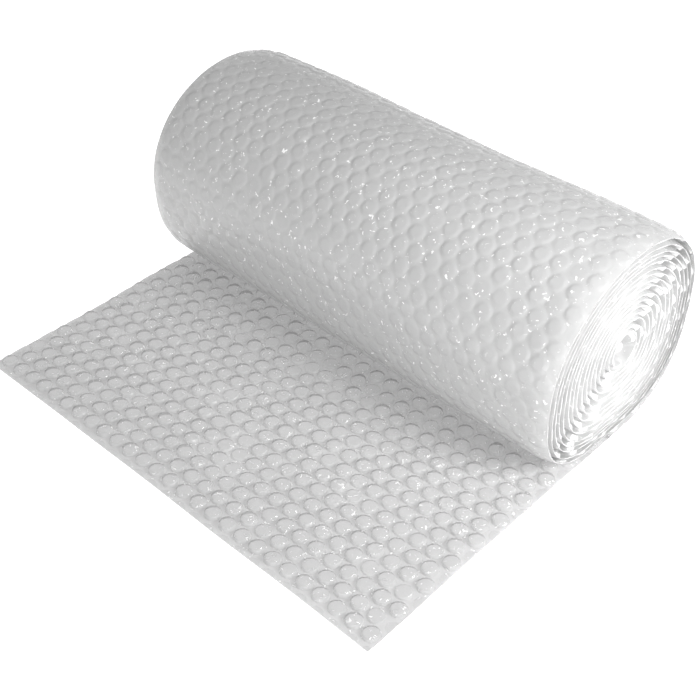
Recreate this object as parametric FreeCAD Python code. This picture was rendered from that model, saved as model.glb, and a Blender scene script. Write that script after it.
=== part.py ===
import FreeCAD, Part
import math
import os

# A roll of bubble film, lying on its side with its loose end pulled out flat in front of it.
# The film is one piece: it starts at the eye, winds out turn by turn, goes over the top of
# the roll, down its back and under it, and comes out in front as the tail. Its turns are
# pressed together, so they are one body, and their edges stand apart at the roll's two ends.
# The flat side of the film is outside on the roll and below on the tail. The bubbles stand
# inwards on the roll, pressed between the turns, and stand up freely on the tail.
# The roll rests on its seat, the flat spot that its weight has pressed into its underside.
# X runs along the roll, the tail points to -Y, +Z is up. The origin is on the ground, at the
# middle of the space that the roll and its tail take up. Millimetres.

# The roll
web_width = 300.0            # width of the film, which is the length of the roll
roll_depth = 140.0           # front to back across the wound turns
roll_height = 130.6          # ground to the top of the roll
seat_press = 1.2             # how far the underside has sunk into its flat spot
top_fullness = 2.06          # outline's exponent above the middle, where 2 is an ellipse
seat_fullness = 2.76         # the same below the middle, where the roll sags out squarer
eye_radius = 9.0             # open eye at the middle of the turns

# The film as it is wound
web_thick = 3.0              # film and pressed bubbles together, one turn's thickness
turn_gap = 0.4               # least air between the edges of two turns
edge_depth = 6.0             # how far in from the roll's ends the turns stand apart

# The tail
tail_reach = 196.6           # cut edge to the roll's centre plane
tail_lift = 0.2              # how far the tail's flat side stands off the ground, clear of the seat
backing_thick = 0.9          # film between the feet of the bubbles
bubble_rise = 3.0            # free bubble above the backing
bubble_top = 5.8             # flat top of a free bubble, along and across
tail_bare = 27.0             # flattened stretch under the roll, from its centre plane forward

# The rows of bubbles, which run along the roll, every other row moved over by half a bubble
bubbles_across = 27          # bubbles in a row across the film
row_spacing = 9.9            # from one row to the next along the film
pillow_rise = 0.7            # how far the outer film bulges over each row of the outer turn
pillow_from = 24.0           # degrees up the back at which the outer film starts to bulge
pillow_to = 336.0            # degrees at which it meets the tail in front

FLAT_SPANS = (12, 18, 24)    # degrees of one short flat in the outer, middle and inner third of the turns
FOOT_STEPS = 8               # short flats from the middle of the seat to the first row
LEAST_TOP = 0.5              # a row that would keep less of its flat tops than this is left out
NEAR = 1e-6                  # points closer than this are one point

half_depth = roll_depth / 2
half_height = (roll_height + seat_press) / 2
centre_height = roll_height - half_height
turns = math.floor((min(half_depth, half_height) - eye_radius) / (web_thick + turn_gap))
full_angle = 360.0 * turns

half_width = web_width / 2
pitch = web_width / bubbles_across
tail_start = tail_bare + web_thick
foot_height = tail_lift + backing_thick
first_row = math.ceil((tail_start + LEAST_TOP + bubble_top / 2) / row_spacing)
last_row = math.floor((tail_reach - LEAST_TOP + bubble_top / 2) / row_spacing)


def outline_radius(angle):
    """Radius of the roll's outline, at an angle in degrees from straight down towards the back."""
    across = abs(math.sin(math.radians(angle))) / half_depth
    down = math.cos(math.radians(angle))
    fullness = seat_fullness if down > 0 else top_fullness
    return (across ** fullness + abs(down / half_height) ** fullness) ** (-1 / fullness)


def wound_point(angle, depth):
    """A point of the wound film at that many degrees in from the outside, depth below its outer face."""
    wound_share = 1 - angle / full_angle
    radius = eye_radius + (outline_radius(angle) - eye_radius) * wound_share - depth
    y = radius * math.sin(math.radians(angle))
    z = centre_height - radius * math.cos(math.radians(angle))
    # A turn rests on the turns below it, each of them one thickness and one gap high
    rest_height = (web_thick + turn_gap) * round(angle / 360) + depth
    if math.cos(math.radians(angle)) > 0:
        z = max(z, rest_height)
    return FreeCAD.Vector(0, y, z)


def flat_angles(start, end):
    """Angles at which the short flats of a wound face meet. The tighter inner turns have fewer."""
    angles = [start]
    while angles[-1] < end - NEAR:
        turn = math.floor(angles[-1] / 360 + NEAR)
        span = FLAT_SPANS[min(turn * len(FLAT_SPANS) // turns, len(FLAT_SPANS) - 1)]
        angles.append(min(angles[-1] + span, 360 * (turn + 1), end))
    return angles


def wound_face(start, end, depth):
    """One face of the wound film from one angle in to another, as a row of short flats."""
    points = [wound_point(angle, depth) for angle in flat_angles(start, end)]
    return [Part.LineSegment(low, high).toShape() for low, high in zip(points, points[1:])]


def bulge(first, last, rise):
    """An arc from one point to another that stands out by rise on the left of that way."""
    way = last - first
    side = FreeCAD.Vector(0, -way.z, way.y).normalize()
    middle = (first + last) * 0.5 + side * rise
    return Part.Arc(first, middle, last).toShape()


def row_angles():
    """Angles at which the outer turn's rows of bubbles meet, one row spacing apart on the film."""
    step = 0.25
    length = 0.0
    lengths = [0.0]
    count = round((pillow_to - pillow_from) / step)
    for i in range(count):
        here = wound_point(pillow_from + i * step, 0)
        there = wound_point(pillow_from + (i + 1) * step, 0)
        length += (there - here).Length
        lengths.append(length)
    rows = max(1, round(length / row_spacing))
    angles = []
    for row in range(rows + 1):
        wanted = length * row / rows
        index = min(range(count + 1), key=lambda i: abs(lengths[i] - wanted))
        angles.append(pillow_from + index * step)
    return angles


def upper_edges():
    """The upper side of the flattened film under the roll, out to where the free tail starts."""
    start = FreeCAD.Vector(0, 0, web_thick)
    pressed = FreeCAD.Vector(0, -tail_bare, web_thick)
    opening = FreeCAD.Vector(0, -tail_start, foot_height)
    return [Part.LineSegment(start, pressed).toShape(), Part.LineSegment(pressed, opening).toShape()]


def outer_edges():
    """The outer side of the film, from where the free tail starts round to where the outer turn ends."""
    start_low = FreeCAD.Vector(0, -tail_start, tail_lift)
    start_high = FreeCAD.Vector(0, -tail_start, foot_height)
    edges = [Part.LineSegment(start_high, start_low).toShape()]
    angles = row_angles()
    # The seat, even about the centre plane, and the foot of the back up to the first row
    foot = [wound_point(pillow_from * i / FOOT_STEPS, 0) for i in range(FOOT_STEPS + 1)]
    seat = max(i for i, point in enumerate(foot) if point.z == 0)
    seat_front = FreeCAD.Vector(0, -foot[seat].y, 0)
    edges.append(Part.LineSegment(start_low, seat_front).toShape())
    edges.append(Part.LineSegment(seat_front, foot[seat]).toShape())
    for low, high in zip(foot[seat:], foot[seat + 1:]):
        edges.append(Part.LineSegment(low, high).toShape())
    for low, high in zip(angles, angles[1:]):
        edges.append(bulge(wound_point(low, 0), wound_point(high, 0), -pillow_rise))
    return edges + wound_face(angles[-1], 360, 0)


def prism(edges, start, end):
    """The space inside closed edges, drawn out along the roll from start to end."""
    face = Part.Face(Part.Wire(Part.__sortEdges__(edges)))
    face.translate(FreeCAD.Vector(start, 0, 0))
    return face.extrude(FreeCAD.Vector(end - start, 0, 0))


def parted_turns(start, end):
    """A stretch of the roll in which every turn stands apart from the next."""
    edges = outer_edges() + wound_face(360, full_angle, 0)
    edges.append(Part.LineSegment(wound_point(full_angle, 0), wound_point(full_angle, web_thick)).toShape())
    return prism(edges + wound_face(0, full_angle, web_thick) + upper_edges(), start, end)


def pressed_turns(start, end):
    """A stretch of the roll in which the turns are pressed into one body round the open eye."""
    closing = Part.LineSegment(wound_point(360, 0), FreeCAD.Vector(0, 0, web_thick)).toShape()
    body = prism(outer_edges() + [closing] + upper_edges(), start, end)
    eye_edges = wound_face(full_angle - 360, full_angle, web_thick)
    eye_edges.append(Part.LineSegment(wound_point(full_angle - 360, web_thick),
                                      wound_point(full_angle, web_thick)).toShape())
    return body.cut(prism(eye_edges, start, end))


def bubble_points(x, row):
    """The six points of a free bubble's foot, which meets its neighbours', and the four of its top."""
    middle = row * row_spacing
    side = pitch / 2
    top = bubble_top / 2
    back_corner, back_tip = middle - row_spacing / 3, middle - row_spacing * 2 / 3
    front_corner, front_tip = middle + row_spacing / 3, middle + row_spacing * 2 / 3
    if row == first_row:
        back_corner = back_tip = tail_start
    if row == last_row:
        front_corner = front_tip = tail_reach

    def point(across, along, height):
        """A point of the bubble, or where the film is cut, the nearest one on the cut."""
        inside = min(max(x + across, -half_width), half_width)
        return FreeCAD.Vector(inside, -min(along, tail_reach), height)

    low, high = foot_height, foot_height + bubble_rise
    foot = [point(-side, back_corner, low), point(0, back_tip, low), point(side, back_corner, low),
            point(side, front_corner, low), point(0, front_tip, low), point(-side, front_corner, low)]
    crown = [point(-top, middle - top, high), point(top, middle - top, high),
             point(top, middle + top, high), point(-top, middle + top, high)]
    return foot, crown


def flat_face(points):
    """A flat face through points, or none where the cut leaves less than a triangle of it."""
    kept = [point for point, before in zip(points, points[-1:] + points[:-1])
            if (point - before).Length > NEAR]
    if len(kept) < 3:
        return []
    return [Part.Face(Part.makePolygon(kept + kept[:1]))]


def bubble_faces(foot, crown):
    """The sides and the flat top of one free bubble."""
    outlines = [
        crown,
        [foot[5], foot[0], crown[0], crown[3]],
        [foot[2], foot[3], crown[2], crown[1]],
        [foot[0], foot[1], crown[0]],
        [foot[1], crown[1], crown[0]],
        [foot[1], foot[2], crown[1]],
        [foot[3], foot[4], crown[2]],
        [foot[4], crown[3], crown[2]],
        [foot[4], foot[5], crown[3]],
    ]
    return [face for outline in outlines for face in flat_face(outline)]


def border_face(points, along):
    """The upright face from the flat side up to the points on one border of the tail, in their order."""
    chain = sorted(points, key=along)
    ends = [FreeCAD.Vector(point.x, point.y, tail_lift) for point in (chain[-1], chain[0])]
    return flat_face(chain + ends)


def free_tail():
    """The loose end of the film, flat on the ground with its bubbles up."""
    faces = []
    feet = []
    for row in range(first_row, last_row + 1):
        # Even rows start and end with half a bubble
        columns = bubbles_across + 1 - row % 2
        for column in range(columns):
            foot, crown = bubble_points((column - (columns - 1) / 2) * pitch, row)
            faces += bubble_faces(foot, crown)
            feet += foot
    for side in (-half_width, half_width):
        on_side = [point for point in feet if abs(point.x - side) < NEAR]
        faces += border_face(on_side, lambda point: point.y)
    for place in (-tail_start, -tail_reach):
        on_end = [point for point in feet if abs(point.y - place) < NEAR]
        faces += border_face(on_end, lambda point: point.x)
    corners = [(-half_width, -tail_start), (half_width, -tail_start),
               (half_width, -tail_reach), (-half_width, -tail_reach)]
    underside = flat_face([FreeCAD.Vector(x, y, tail_lift) for x, y in corners])
    shell = Part.makeShell(faces + underside)
    shell.sewShape()
    tail = Part.makeSolid(shell)
    if tail.Volume < 0:
        tail.reverse()
    return tail


def bubble_wrap_roll():
    """The whole film as one solid, centred over the origin."""
    edge_start = half_width - edge_depth
    left_edges = parted_turns(-half_width, -edge_start)
    right_edges = parted_turns(edge_start, half_width)
    film = pressed_turns(-edge_start, edge_start).fuse([left_edges, right_edges, free_tail()])
    film = film.removeSplitter().Solids[0]
    film.translate(FreeCAD.Vector(0, -film.BoundBox.Center.y, 0))
    return film


os.makedirs("parts", exist_ok=True)
roll = bubble_wrap_roll()
roll.exportStep("parts/bubble_wrap_roll.step")
print("turns", turns, "volume", round(roll.Volume / 1e9, 6), "m3, valid", roll.isValid(), roll.BoundBox)
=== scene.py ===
import math

import bmesh
import bpy
import numpy as np
from mathutils import Matrix, Vector


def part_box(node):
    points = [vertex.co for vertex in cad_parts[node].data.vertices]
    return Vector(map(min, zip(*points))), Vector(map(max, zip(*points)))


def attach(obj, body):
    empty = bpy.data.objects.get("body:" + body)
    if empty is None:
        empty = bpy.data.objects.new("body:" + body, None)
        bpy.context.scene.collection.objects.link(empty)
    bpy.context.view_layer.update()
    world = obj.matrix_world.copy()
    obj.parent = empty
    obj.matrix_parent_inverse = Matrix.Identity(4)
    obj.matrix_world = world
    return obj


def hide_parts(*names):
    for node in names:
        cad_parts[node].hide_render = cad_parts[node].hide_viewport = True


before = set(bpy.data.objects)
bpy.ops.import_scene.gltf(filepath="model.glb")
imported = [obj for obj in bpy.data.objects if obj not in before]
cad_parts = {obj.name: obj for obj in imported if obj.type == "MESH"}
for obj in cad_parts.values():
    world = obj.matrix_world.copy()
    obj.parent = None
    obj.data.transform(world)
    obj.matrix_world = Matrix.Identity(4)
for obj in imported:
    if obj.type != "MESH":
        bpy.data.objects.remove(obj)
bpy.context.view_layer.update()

# The film's own sizes, in metres, as the roll's source has them
ROLL_DEPTH = 0.140
ROLL_HEIGHT = 0.1306
SEAT_PRESS = 0.0012
TOP_FULLNESS = 2.06
SEAT_FULLNESS = 2.76
EYE_RADIUS = 0.009
WEB_THICK = 0.003
TURN_GAP = 0.0004
TAIL_REACH = 0.1966
ROW_SPACING = 0.0099

# The bubbles: high on the tail, pressed flatter between the turns
BUBBLES_ACROSS = 27
BUBBLE_RADIUS = 0.0050
BUBBLE_RISE = 0.0034
FILM_THICK = 0.00025
PRESSED_RISE = WEB_THICK - 2 * FILM_THICK

# How far the flat film bulges over each bubble behind it
PILLOW_RISE = 0.0005
SECOND_PILLOW_RISE = PILLOW_RISE * 0.5
END_PILLOW_RISE = PILLOW_RISE * 0.4

# A bubble's corners, and the rings that round it off: their radii and heights in bubble radii
CORNERS = 12
DOME_TOP = 0.97
FINE_RINGS = ((0.93, 0.50), (0.72, 0.84), (0.36, DOME_TOP))
PLAIN_RINGS = ((0.90, 0.60), (0.50, DOME_TOP))
EDGE_RINGS = ((0.80, DOME_TOP),)
SIXTH_TURN = 60
MERGE_DISTANCE = 0.0001

# The first ring of the land round a bubble, and how far off plain land counts as, in bubble radii
LAND_START = 1.2
LAND_REACH = 1.4

# A number for each bubble, counted from well before the tail's first row
FIRST_ROW = -1000
NUMBERS_A_ROW = 97
MIDDLE_NUMBER = 60

# How the bubbles differ. A film's give is how strongly all of it shows.
ROLL_GIVE = 0.3
END_GIVE = 0.15
SLACK_CHANCE = 0.2
SLACK_FILL = 0.55
LEAN = 0.35
DENT_PLACE = 0.7
DENT_DEPTH = 0.9
DENT_SPREAD = 0.12

# A bubble whose middle is this near to a cut was cut open, and keeps this share of its height
CUT_BUBBLE = 0.0034
CUT_AIR = 0.12

# The wound film strays from its path once it is off the ground, and draws in at the roll's ends
SEAT_LENGTH = 0.020
LIFT_LENGTH = 0.05
WANDER = 0.0005
WANDER_SIZE = 0.09
SOFT_END = 0.012
END_DRAW = 0.0022
LAST_DRAWN_TURN = 4.5
DRAW_FADE = 3

# The tail is pressed flat as it comes to the roll, has low ripples, and curls up at its cut
PRESS_START = -0.040
PRESS_LENGTH = 0.015
RIPPLE_RISE = 0.0005
RIPPLE_SIZE = 0.08
CURL_RISE = 0.0030
CURL_START = 0.72
CURL_SIZE = 0.12

# The waves that a smooth wandering value is made of
WAVES = 7
SHORTEST_WAVE = 0.7
LONGEST_WAVE = 1.6
WAVE_SHIFT = 6.3
WAVES_TOGETHER = 3.2

# Seeds: of each film's bubbles, of their finish, and of the wandering values
OUTER_SEED, SECOND_SEED, END_SEED, TAIL_SEED = 3, 6, 8, 9
CHANCE_SEED = 11
WANDER_SEED, RIPPLE_SEED, CURL_SEED = 5, 21, 22

SMOOTH_ANGLE = 50
INNER_STEPS = 900

# The finish's patterns: soft clouds, and creases with painted glints where they are highest
CLOUD_SCALE = 90
CLOUD_DETAIL = 1
CLOUD_RANGE = (0.3, 0.7)
CREASE_SCALE = 420
CREASE_DETAIL = 1.5
CREASE_DISTORTION = 0.8
CREASE_DEPTH = 0.0012
PAINTED_GLINT_RANGE = (0.66, 0.72)
PAINTED_GLINT_LIGHT = 0.3
# The milky body is hardly creased to the eye, but the glints on it are
BODY_CREASE = 0.12
GLINT_CREASE = 0.5
# Where a clear bubble turns into sealed land, in bubble radii
SEALED_RANGE = (0.70, 0.98)
# Where painted shade dims the turns' edges towards the outermost, in metres from the eye
PAINTED_RIM_SHADE_RANGE = (0.042, 0.067)

WHITE = (1, 1, 1, 1)
# The film's emission colour is that of its painted glow, which is painted light
FILM_SURFACE = {"Roughness": 0.4, "IOR": 1.5, "Coat Weight": 0.8, "Coat Roughness": 0.15,
                "Emission Color": WHITE}
FLOOR_SURFACE = {"Base Color": (0.85, 0.85, 0.85, 1), "Roughness": 0.9,
                 "Specular IOR Level": 0.1, "Emission Color": WHITE, "Emission Strength": 0.7}

FLOOR_SIZE = 12
FLOOR_DROP = 0.0002
STUDIO_LIGHT = 0.55

# The camera, from a fit of the photograph's outline
CAMERA_AZIMUTH = 42.922
CAMERA_ELEVATION = 39.963
CAMERA_ROLL = 0.3175
CAMERA_DISTANCE = 0.71544
CAMERA_LENS = 65.256
CAMERA_SENSOR = 36
CAMERA_CLIP = 0.01
CAMERA_AIM = (0.01767, -0.06897, 0.030)
AIM_FROM_CUT = 0.1979

LOW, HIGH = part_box("bubble_wrap_roll")
WEB_WIDTH = HIGH.x - LOW.x
PITCH = WEB_WIDTH / BUBBLES_ACROSS
END_STRIP = 2 * PITCH
ROLL_Y = LOW.y + TAIL_REACH
HALF_DEPTH = ROLL_DEPTH / 2
HALF_HEIGHT = (ROLL_HEIGHT + SEAT_PRESS) / 2
CENTRE_HEIGHT = ROLL_HEIGHT - HALF_HEIGHT
TURN_STEP = WEB_THICK + TURN_GAP
TURNS = math.floor((min(HALF_DEPTH, HALF_HEIGHT) - EYE_RADIUS) / TURN_STEP)
FULL_ANGLE = 360.0 * TURNS
PATH_STEP = 0.5
PATH_SPAN = 0.0025


# The film's path

def wound_points(angles):
    """Where the outer face of the wound film runs, at degrees in from the outside."""
    turn = np.radians(angles)
    down = np.cos(turn)
    fullness = np.where(down > 0, SEAT_FULLNESS, TOP_FULLNESS)
    outline = (np.abs(np.sin(turn) / HALF_DEPTH) ** fullness
               + np.abs(down / HALF_HEIGHT) ** fullness) ** (-1 / fullness)
    radius = EYE_RADIUS + (outline - EYE_RADIUS) * (1 - angles / FULL_ANGLE)
    y = ROLL_Y + radius * np.sin(turn)
    z = CENTRE_HEIGHT - radius * down
    rest = TURN_STEP * np.round(angles / 360)
    return np.stack([y, np.where(down > 0, np.maximum(z, rest), z)], 1)


PATH_ANGLES = np.arange(0, FULL_ANGLE + PATH_STEP / 2, PATH_STEP)
PATH = wound_points(PATH_ANGLES)
STEPS = np.linalg.norm(np.diff(PATH, axis=0), axis=1)
PATH_LENGTHS = np.concatenate([[0], np.cumsum(STEPS)])
TURN_LENGTH = float(np.interp(360, PATH_ANGLES, PATH_LENGTHS))

# Where each stretch of film starts and ends, in lengths along the path from the seat's middle
TAIL_END = 0.004
OUTER_START = 0.001
OUTER_END = TURN_LENGTH * 0.985
SECOND_END = TURN_LENGTH * 1.98
PATH_END = PATH_LENGTHS[-1]


def path_points(lengths):
    """Points at lengths along the path, and along the ground where the lengths are negative."""
    y = np.interp(lengths, PATH_LENGTHS, PATH[:, 0])
    z = np.interp(lengths, PATH_LENGTHS, PATH[:, 1])
    y = np.where(lengths < 0, ROLL_Y + lengths, y)
    return np.stack([y, np.where(lengths < 0, 0, z)], 1)


def path_frame(lengths):
    """Points of the path and the directions out of the roll."""
    way = path_points(lengths + PATH_SPAN) - path_points(lengths - PATH_SPAN)
    way /= np.linalg.norm(way, axis=1)[:, None]
    return path_points(lengths), np.stack([way[:, 1], -way[:, 0]], 1)


# Modelling helpers

def deselect_all():
    for piece in bpy.context.selected_objects:
        piece.select_set(False)


def pick(piece):
    deselect_all()
    piece.select_set(True)
    bpy.context.view_layer.objects.active = piece


def edit(piece):
    pick(piece)
    bpy.ops.object.mode_set(mode="EDIT")


def leave_edit():
    bpy.ops.object.mode_set(mode="OBJECT")


def select_outer_edges(piece):
    """Selects the open edges round a flat piece, in edit mode."""
    mesh = bmesh.from_edit_mesh(piece.data)
    bpy.ops.mesh.select_all(action="DESELECT")
    bpy.context.tool_settings.mesh_select_mode = (False, True, False)
    for edge in mesh.edges:
        edge.select = edge.is_boundary
    mesh.select_flush_mode()
    bmesh.update_edit_mesh(piece.data)


def cut_off(axis, low, high):
    """Cuts the piece in edit mode straight across, below one place and above another."""
    for place, side in ((low, -1), (high, 1)):
        bpy.ops.mesh.select_all(action="SELECT")
        bpy.ops.mesh.bisect(plane_co=Vector(axis) * place, plane_no=Vector(axis) * side,
                            clear_outer=True)


def repeat(piece, count, offset):
    """Makes a row of copies of a piece, as one mesh."""
    pick(piece)
    modifier = piece.modifiers.new("copies", "ARRAY")
    modifier.count = count
    modifier.use_relative_offset = False
    modifier.use_constant_offset = True
    modifier.constant_offset_displace = offset
    bpy.ops.object.modifier_apply(modifier=modifier.name)


def points_of(piece):
    flat = np.empty(len(piece.data.vertices) * 3)
    piece.data.vertices.foreach_get("co", flat)
    return flat.reshape(-1, 3)


def set_points(piece, points):
    piece.data.vertices.foreach_set("co", points.astype(np.float32).ravel())
    piece.data.update()


def soft_noise(points, size, seed):
    """A smooth wandering value, about -1 to 1, from a few crossed waves."""
    waves = np.random.default_rng(seed)
    total = np.zeros(len(points))
    for _ in range(WAVES):
        way = waves.normal(size=points.shape[1])
        way /= np.linalg.norm(way)
        length = size * waves.uniform(SHORTEST_WAVE, LONGEST_WAVE)
        total += np.sin(points @ way * (2 * math.pi / length) + waves.uniform(0, WAVE_SHIFT))
    return total / WAVES_TOGETHER


# One bubble, and the film made of its copies

def bubble_cell(name, rings):
    """One bubble on its six-sided patch of film."""
    deselect_all()
    bpy.ops.mesh.primitive_circle_add(vertices=CORNERS, radius=BUBBLE_RADIUS, fill_type="NGON")
    cell = bpy.context.object
    cell.name = name
    edit(cell)
    bpy.ops.mesh.select_all(action="SELECT")
    last_radius, last_height = 1.0, 0.0
    for radius, height in rings:
        step = (last_radius - radius) * BUBBLE_RADIUS * math.cos(math.pi / CORNERS)
        bpy.ops.mesh.inset(thickness=step)
        bpy.ops.transform.translate(value=(0, 0, (height - last_height) * BUBBLE_RADIUS))
        last_radius, last_height = radius, height
    bpy.ops.mesh.poke()
    # The land round the bubble
    select_outer_edges(cell)
    bpy.ops.mesh.extrude_region_move(TRANSFORM_OT_translate={"value": (0, 0, 0)})
    bpy.ops.transform.resize(value=(LAND_START, LAND_START, 1))
    leave_edit()
    # It goes out to where it meets its six neighbours
    points = points_of(cell)
    reach = np.hypot(points[:, 0], points[:, 1])
    rim = reach > BUBBLE_RADIUS * (1 + LAND_START) / 2
    turn = np.degrees(np.arctan2(points[rim, 1], points[rim, 0]))
    from_side = np.radians((turn + SIXTH_TURN / 2) % SIXTH_TURN - SIXTH_TURN / 2)
    points[rim, :2] *= (PITCH / 2 / np.cos(from_side) / reach[rim])[:, None]
    # The rows are a little further apart than in an even pattern
    points[rim, 1] *= ROW_SPACING / (PITCH * math.sqrt(3) / 2)
    set_points(cell, points)
    return cell


def rows_between(start, end):
    """The rows that cover a stretch of film. They start with an even one and are laid in pairs."""
    first = math.floor(start / ROW_SPACING) - 1
    return first - first % 2, math.ceil(end / ROW_SPACING) + 2


def flat_film(name, rings, low_x, high_x, start, end):
    """A flat stretch of film with its bubbles up, cut straight all round. Y runs along it."""
    first_row, last_row = rows_between(start, end)
    first_column = math.floor(low_x / PITCH) - 0.5
    film = bubble_cell(name, rings)
    corner = np.array([first_column * PITCH, first_row * ROW_SPACING, 0])
    set_points(film, points_of(film) + corner)
    repeat(film, math.ceil((high_x - low_x) / PITCH) + 2, (PITCH, 0, 0))
    pick(film)
    bpy.ops.object.duplicate()
    next_row = bpy.context.object
    set_points(next_row, points_of(next_row) + np.array([PITCH / 2, ROW_SPACING, 0]))
    film.select_set(True)
    bpy.context.view_layer.objects.active = film
    bpy.ops.object.join()
    repeat(film, math.ceil((last_row - first_row) / 2), (0, 2 * ROW_SPACING, 0))
    edit(film)
    bpy.ops.mesh.select_all(action="SELECT")
    bpy.ops.mesh.remove_doubles(threshold=MERGE_DISTANCE)
    cut_off((1, 0, 0), low_x, high_x)
    cut_off((0, 1, 0), start, end)
    leave_edit()
    return film


def double_up(film):
    """Gives flat bubbled film its second, plain film. Returns which points are the bubbles'."""
    edit(film)
    bpy.ops.mesh.select_all(action="SELECT")
    bpy.ops.mesh.extrude_region_move(TRANSFORM_OT_translate={"value": (0, 0, 0)})
    leave_edit()
    bubbled = np.empty(len(film.data.vertices), bool)
    film.data.vertices.foreach_get("select", bubbled)
    return bubbled


def bubble_places(points):
    """For each point its bubble's number, its place in that bubble in radii, and the middle."""
    row = np.round(points[:, 1] / ROW_SPACING)
    half = (row % 2) * 0.5
    column = np.round(points[:, 0] / PITCH + 0.5 - half) - 0.5 + half
    middle = np.stack([column * PITCH, row * ROW_SPACING], 1)
    in_row = np.round(column * 2).astype(int) + MIDDLE_NUMBER
    number = (row.astype(int) - FIRST_ROW) * NUMBERS_A_ROW + in_row
    return number, (points[:, :2] - middle) / BUBBLE_RADIUS, middle


def uneven_bubbles(points, seed, give):
    """Heights of the bubbles with some fuller, some slack, each leaning its own way."""
    number, local, middle = bubble_places(points)
    kinds = np.random.default_rng(seed)
    size = number.max() + 1
    full = 1 - give * kinds.random(size) ** 2
    slack = kinds.random(size) < SLACK_CHANCE * give
    full = np.where(slack, full * SLACK_FILL, full)
    lean = kinds.normal(0, give * LEAN, (size, 2))
    tilt = 1 + (lean[number] * local).sum(1)
    dent_place = kinds.uniform(-DENT_PLACE, DENT_PLACE, (size, 2))
    dent_depth = give * DENT_DEPTH * kinds.random(size) ** 2
    away = ((local - dent_place[number]) ** 2).sum(1)
    dent = 1 - dent_depth[number] * np.exp(-away / DENT_SPREAD)
    from_cut = np.minimum(WEB_WIDTH / 2 - np.abs(middle[:, 0]), middle[:, 1] + TAIL_REACH)
    air = np.where(from_cut < CUT_BUBBLE, CUT_AIR, 1)
    return points[:, 2] * full[number] * tilt * dent * air


def note_bubbles(piece, flat, bubbled=None):
    """Keeps for the finish how far each point is from its bubble's middle, and a chance value."""
    number, local, _ = bubble_places(flat)
    reach = np.minimum(np.hypot(local[:, 0], local[:, 1]), LAND_REACH)
    if bubbled is not None:
        reach = np.where(bubbled, reach, LAND_REACH)
    chance = np.random.default_rng(CHANCE_SEED).random(number.max() + 1)[number]
    for name, values in (("bubble_reach", reach), ("bubble_chance", chance)):
        noted = piece.data.attributes.new(name, "FLOAT", "POINT")
        noted.data.foreach_set("value", values.astype(np.float32))


def film_heights(film, bubbled, rise, pillow, seed, give):
    """A flat film's points, and how far each stands up as a bubble or bulges down behind one."""
    flat = points_of(film)
    note_bubbles(film, flat, None if pillow else bubbled)
    share = uneven_bubbles(flat, seed, give) / BUBBLE_RADIUS / DOME_TOP
    return flat, np.where(bubbled, FILM_THICK + share * rise, -share * pillow)


def finish_film(film):
    edit(film)
    bpy.ops.mesh.select_all(action="SELECT")
    bpy.ops.mesh.normals_make_consistent(inside=False)
    leave_edit()
    pick(film)
    bpy.ops.object.shade_smooth_by_angle(angle=math.radians(SMOOTH_ANGLE))


def wind(film, flat, height):
    """Lays a flat stretch of film along the path round the roll, its bubbles inwards."""
    place, out = path_frame(flat[:, 1])
    lifted = np.clip((flat[:, 1] - SEAT_LENGTH) / LIFT_LENGTH, 0, 1)
    wander = WANDER * soft_noise(flat[:, :2], WANDER_SIZE, WANDER_SEED) * lifted
    edge = np.clip((np.abs(flat[:, 0]) - (WEB_WIDTH / 2 - SOFT_END)) / SOFT_END, 0, 1)
    outermost = np.clip((LAST_DRAWN_TURN - flat[:, 1] / TURN_LENGTH) / DRAW_FADE, 0, 1)
    draw_in = END_DRAW * edge ** 2 * lifted * outermost
    reach = wander - draw_in - height
    points = np.column_stack([flat[:, 0], place + out * reach[:, None]])
    points[:, 2] = np.maximum(points[:, 2], 0.0)
    set_points(film, points)
    finish_film(film)


# The pieces' shapes

def outer_turn():
    """The outermost turn: flat film outside that bulges over each bubble, the bubbles inside."""
    film = flat_film("outer_turn", PLAIN_RINGS, -WEB_WIDTH / 2, WEB_WIDTH / 2,
                     OUTER_START, OUTER_END)
    bubbled = double_up(film)
    wind(film, *film_heights(film, bubbled, PRESSED_RISE, PILLOW_RISE, OUTER_SEED, ROLL_GIVE))
    return film


def second_turn():
    """The next turn in, whose flat film closes the view into the roll."""
    film = flat_film("second_turn", PLAIN_RINGS, -WEB_WIDTH / 2 + END_STRIP,
                     WEB_WIDTH / 2 - END_STRIP, OUTER_END, SECOND_END)
    wind(film, *film_heights(film, False, 0, SECOND_PILLOW_RISE, SECOND_SEED, ROLL_GIVE))
    return film


def end_turns(name, low_x, high_x):
    """Every turn's edge at one end of the roll, with its flat film and its bubbles."""
    film = flat_film(name, EDGE_RINGS, low_x, high_x, OUTER_END, PATH_END)
    bubbled = double_up(film)
    wind(film, *film_heights(film, bubbled, PRESSED_RISE, END_PILLOW_RISE, END_SEED, END_GIVE))
    return film


def inner_turns():
    """The flat film of the turns inside, between the two ends."""
    deselect_all()
    bpy.ops.mesh.primitive_grid_add(x_subdivisions=2, y_subdivisions=INNER_STEPS, size=1)
    film = bpy.context.object
    film.name = "inner_turns"
    flat = points_of(film)
    flat[:, 0] *= WEB_WIDTH - 2 * END_STRIP
    flat[:, 1] = SECOND_END + (flat[:, 1] + 0.5) * (PATH_END - SECOND_END)
    note_bubbles(film, flat)
    wind(film, flat, np.zeros(len(flat)))
    return film


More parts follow.
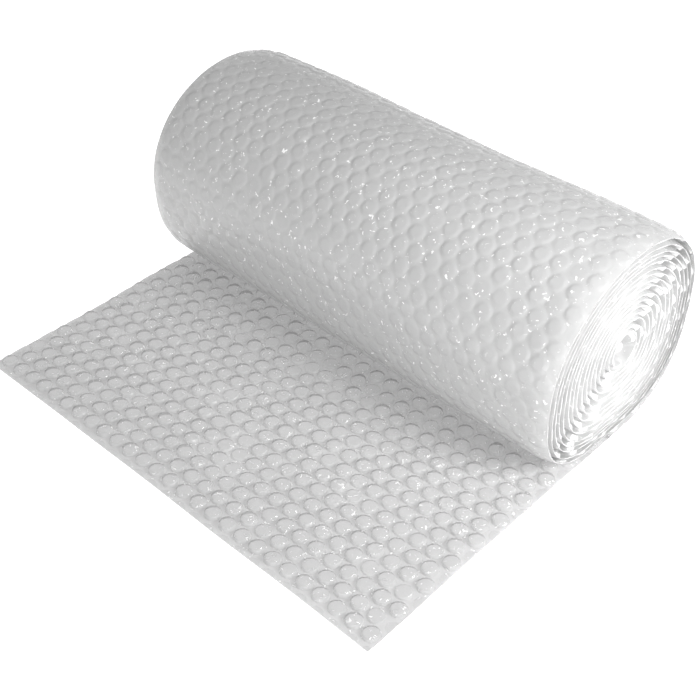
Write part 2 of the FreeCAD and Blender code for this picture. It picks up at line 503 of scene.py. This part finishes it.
def tail():
    """The loose end, flat on the ground with its bubbles up."""
    film = flat_film("tail", FINE_RINGS, -WEB_WIDTH / 2, WEB_WIDTH / 2, -TAIL_REACH, TAIL_END)
    bubbled = double_up(film)
    pressed = np.clip((points_of(film)[:, 1] - PRESS_START) / PRESS_LENGTH, 0, 1)
    rise = BUBBLE_RISE + (PRESSED_RISE - BUBBLE_RISE) * pressed
    flat, height = film_heights(film, bubbled, rise, 0, TAIL_SEED, ROLL_GIVE)
    curl = CURL_RISE * np.clip(-flat[:, 1] / TAIL_REACH - CURL_START, 0, 1)
    lift = RIPPLE_RISE * (1 + soft_noise(flat[:, :2], RIPPLE_SIZE, RIPPLE_SEED))
    lift += curl * (1 + soft_noise(flat[:, :2], CURL_SIZE, CURL_SEED))
    height += np.maximum(lift, 0) * (1 - pressed)
    set_points(film, np.column_stack([flat[:, 0], ROLL_Y + flat[:, 1], height]))
    finish_film(film)
    return film


# Finishes

def node_material(name, surface):
    """A new material, with the plain values of its surface."""
    material = bpy.data.materials.new(name)
    material.use_nodes = True
    shader = material.node_tree.nodes["Principled BSDF"]
    for socket, value in surface.items():
        shader.inputs[socket].default_value = value
    return material


def plug(tree, socket, value):
    """Gives a socket its value, or links another node's result to it."""
    if isinstance(value, bpy.types.NodeSocket):
        tree.links.new(value, socket)
    else:
        socket.default_value = value


def math_node(tree, operation, first, second=0):
    node = tree.nodes.new("ShaderNodeMath")
    node.operation = operation
    plug(tree, node.inputs[0], first)
    plug(tree, node.inputs[1], second)
    return node.outputs[0]


def vector_node(tree, operation, first, second=(0, 0, 0), result="Vector"):
    node = tree.nodes.new("ShaderNodeVectorMath")
    node.operation = operation
    plug(tree, node.inputs[0], first)
    plug(tree, node.inputs[1], second)
    return node.outputs[result]


def range_node(tree, value, ends, results):
    """A value brought from one range to another, and kept within it."""
    node = tree.nodes.new("ShaderNodeMapRange")
    node.inputs["From Min"].default_value, node.inputs["From Max"].default_value = ends
    node.inputs["To Min"].default_value, node.inputs["To Max"].default_value = results
    plug(tree, node.inputs["Value"], value)
    return node.outputs["Result"]


def noise_node(tree, place, scale, detail, distortion=0.0):
    node = tree.nodes.new("ShaderNodeTexNoise")
    node.inputs["Scale"].default_value = scale
    node.inputs["Detail"].default_value = detail
    node.inputs["Distortion"].default_value = distortion
    plug(tree, node.inputs["Vector"], place)
    return node.outputs["Fac"]


def noted_node(tree, name):
    """A value that the film's points keep."""
    node = tree.nodes.new("ShaderNodeAttribute")
    node.attribute_name = name
    return node.outputs["Fac"]


def grey_node(tree, tone):
    node = tree.nodes.new("ShaderNodeCombineColor")
    for channel in node.inputs:
        plug(tree, channel, tone)
    return node.outputs["Color"]


def crease_node(tree, crease, strength):
    node = tree.nodes.new("ShaderNodeBump")
    node.inputs["Strength"].default_value = strength
    node.inputs["Distance"].default_value = CREASE_DEPTH
    plug(tree, node.inputs["Height"], crease)
    return node


def from_eye(tree, place):
    """The way from the middle of the eye straight out to a place."""
    across = vector_node(tree, "MULTIPLY", place, (0, 1, 1))
    return vector_node(tree, "SUBTRACT", across, (0, ROLL_Y, CENTRE_HEIGHT))


def painted_rim_shade_node(tree, place, rim):
    """A painted shade: a share that goes from 1 at the eye to rim at the outermost turns."""
    reach = vector_node(tree, "LENGTH", from_eye(tree, place), result="Value")
    return range_node(tree, reach, PAINTED_RIM_SHADE_RANGE, (1, rim))


def soft_normal(tree, whole, share):
    """The surface's own direction, brought part of the way to that of the film as a whole.

    Light wanders sideways in milky film, so a bubble's far side isn't as dark as on something
    solid.
    """
    own = tree.nodes.new("ShaderNodeNewGeometry").outputs["Normal"]
    side = vector_node(tree, "DOT_PRODUCT", own, whole, result="Value")
    facing = vector_node(tree, "MULTIPLY", whole, math_node(tree, "SIGN", side))
    mixed = vector_node(tree, "ADD",
                        vector_node(tree, "MULTIPLY", own, (1 - share,) * 3),
                        vector_node(tree, "MULTIPLY", facing, (share,) * 3))
    return vector_node(tree, "NORMALIZE", mixed)


def film_finish(name, tones, uneven, painted_glow, shares=None, rim=1.0, softness=0.0, wound=True):
    """Soft clear film, milkier where its two layers are sealed together, and crinkled, with
    painted glints on its highest creases.

    Tones and shares are the clear bubble's and the sealed land's: how light each looks and how
    solid. Without shares the film isn't seen through. Uneven is how much one bubble differs
    from the next. Painted glow is painted light: an emission of the film's own that stands in
    for the light that wanders between the turns. Rim is a painted shade, the share to which the
    tone and the painted glow dim at the outermost turns beside the inner ones. Softness is how
    far the shading follows the film as a whole, round the eye where it is wound and level where
    it isn't.
    """
    material = node_material(name, FILM_SURFACE)
    tree = material.node_tree
    sockets = tree.nodes["Principled BSDF"].inputs
    place = tree.nodes.new("ShaderNodeTexCoord").outputs["Object"]
    cloud = noise_node(tree, place, CLOUD_SCALE, CLOUD_DETAIL)
    crease = noise_node(tree, place, CREASE_SCALE, CREASE_DETAIL, CREASE_DISTORTION)

    # From 0 in a clear bubble to 1 on the land, a little different from bubble to bubble
    sealed = range_node(tree, noted_node(tree, "bubble_reach"), SEALED_RANGE, (0, 1))
    own = range_node(tree, noted_node(tree, "bubble_chance"), (0, 1), (-uneven, uneven))
    drift = range_node(tree, cloud, CLOUD_RANGE, (-uneven, uneven))
    milky = math_node(tree, "ADD", sealed, math_node(tree, "ADD", own, drift))
    # Painted highlight: the highest creases are painted lighter and made solid, as glints
    painted_glint = range_node(tree, crease, PAINTED_GLINT_RANGE, (0, 1))

    tone = range_node(tree, milky, (0, 1), tones)
    tone = math_node(tree, "ADD", tone, math_node(tree, "MULTIPLY", painted_glint, PAINTED_GLINT_LIGHT))
    # Painted shade: the tone and the painted glow dim towards the outermost turns
    if rim != 1.0:
        painted_rim_shade = painted_rim_shade_node(tree, place, rim)
        tone = math_node(tree, "MULTIPLY", tone, painted_rim_shade)
        painted_glow = math_node(tree, "MULTIPLY", painted_rim_shade, painted_glow)
    plug(tree, sockets["Base Color"], grey_node(tree, tone))
    # Painted glow: the film gives off light of its own, painted light
    plug(tree, sockets["Emission Strength"], painted_glow)
    if shares is not None:
        share = range_node(tree, milky, (0, 1), shares)
        plug(tree, sockets["Alpha"], math_node(tree, "MAXIMUM", share, painted_glint))

    body = crease_node(tree, crease, BODY_CREASE)
    glints = crease_node(tree, crease, GLINT_CREASE)
    plug(tree, sockets["Normal"], body.outputs["Normal"])
    plug(tree, sockets["Coat Normal"], glints.outputs["Normal"])
    if softness > 0:
        whole = vector_node(tree, "NORMALIZE", from_eye(tree, place)) if wound else (0, 0, 1)
        plug(tree, body.inputs["Normal"], soft_normal(tree, whole, softness))
    return material


# The dressed pieces

def dress(piece, material):
    piece.data.materials.clear()
    piece.data.materials.append(material)
    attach(piece, "root")
    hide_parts("bubble_wrap_roll")


# Each film's painted glow is painted light, an emission that stands in for light wandering through
# the film
roll_film = film_finish("roll_film", tones=(0.43, 0.43), shares=(0.74, 0.78), uneven=0.15,
                        painted_glow=0.06, softness=0.5)
tail_film = film_finish("tail_film", tones=(0.26, 0.34), shares=(0.50, 0.54), uneven=0.12,
                        painted_glow=0.09, softness=0.8, wound=False)
# The end turns' edges get painted shade towards the outermost turns
edge_film = film_finish("edge_film", tones=(0.26, 0.28), uneven=0.10, painted_glow=0.35, rim=0.66)
inner_film = film_finish("inner_film", tones=(0.50, 0.52), uneven=0.10, painted_glow=0.28)

dress(outer_turn(), roll_film)
dress(second_turn(), inner_film)
dress(end_turns("left_end_turns", -WEB_WIDTH / 2, -WEB_WIDTH / 2 + END_STRIP), edge_film)
dress(end_turns("right_end_turns", WEB_WIDTH / 2 - END_STRIP, WEB_WIDTH / 2), edge_film)
dress(inner_turns(), inner_film)
dress(tail(), tail_film)


# Floor, light and camera

def make_floor():
    deselect_all()
    bpy.ops.mesh.primitive_plane_add(size=FLOOR_SIZE, location=(0, 0, -FLOOR_DROP))
    floor = bpy.context.object
    floor.name = "floor"
    floor.data.materials.append(node_material("pale_floor", FLOOR_SURFACE))


def area_light(name, place, aim, size, power, spread=180):
    data = bpy.data.lights.new(name, "AREA")
    data.size = size
    data.energy = power
    data.spread = math.radians(spread)
    light = bpy.data.objects.new(name, data)
    bpy.context.scene.collection.objects.link(light)
    light.location = place
    light.rotation_euler = (Vector(aim) - Vector(place)).to_track_quat("-Z", "Y").to_euler()


def make_lights():
    world = bpy.data.worlds.new("studio")
    bpy.context.scene.world = world
    world.use_nodes = True
    world.node_tree.nodes["Background"].inputs["Color"].default_value = WHITE
    world.node_tree.nodes["Background"].inputs["Strength"].default_value = STUDIO_LIGHT
    area_light("key", place=(0.54, 0.06, 0.34), aim=(0.13, 0.04, 0.11), size=0.22, power=1.6,
               spread=90)
    area_light("fill", place=(0.46, -0.26, 0.13), aim=(0.10, 0.06, 0.07), size=0.26, power=1.1)
    area_light("front", place=(0.30, -0.90, 0.08), aim=(0.06, 0, 0.06), size=0.40, power=1.8)
    area_light("ceiling", place=(-0.1, -0.1, 1.4), aim=(0, 0, 0), size=0.9, power=0.9)


def make_camera():
    data = bpy.data.cameras.new("camera")
    camera = bpy.data.objects.new("camera", data)
    bpy.context.scene.collection.objects.link(camera)
    azimuth, elevation = math.radians(CAMERA_AZIMUTH), math.radians(CAMERA_ELEVATION)
    back = Vector((math.sin(azimuth) * math.cos(elevation),
                   -math.cos(azimuth) * math.cos(elevation), math.sin(elevation)))
    level_right = (-back).cross(Vector((0, 0, 1))).normalized()
    level_up = back.cross(level_right)
    roll = math.radians(CAMERA_ROLL)
    right = level_right * math.cos(roll) + level_up * math.sin(roll)
    up = level_up * math.cos(roll) - level_right * math.sin(roll)
    camera.rotation_euler = Matrix((right, up, back)).transposed().to_euler()
    aim = Vector(CAMERA_AIM) + Vector((0, LOW.y + AIM_FROM_CUT, 0))
    camera.location = aim + back * CAMERA_DISTANCE
    data.sensor_width = CAMERA_SENSOR
    data.lens = CAMERA_LENS
    data.clip_start = CAMERA_CLIP
    bpy.context.scene.camera = camera


make_floor()
make_lights()
make_camera()
bpy.context.scene.view_settings.view_transform = "Standard"
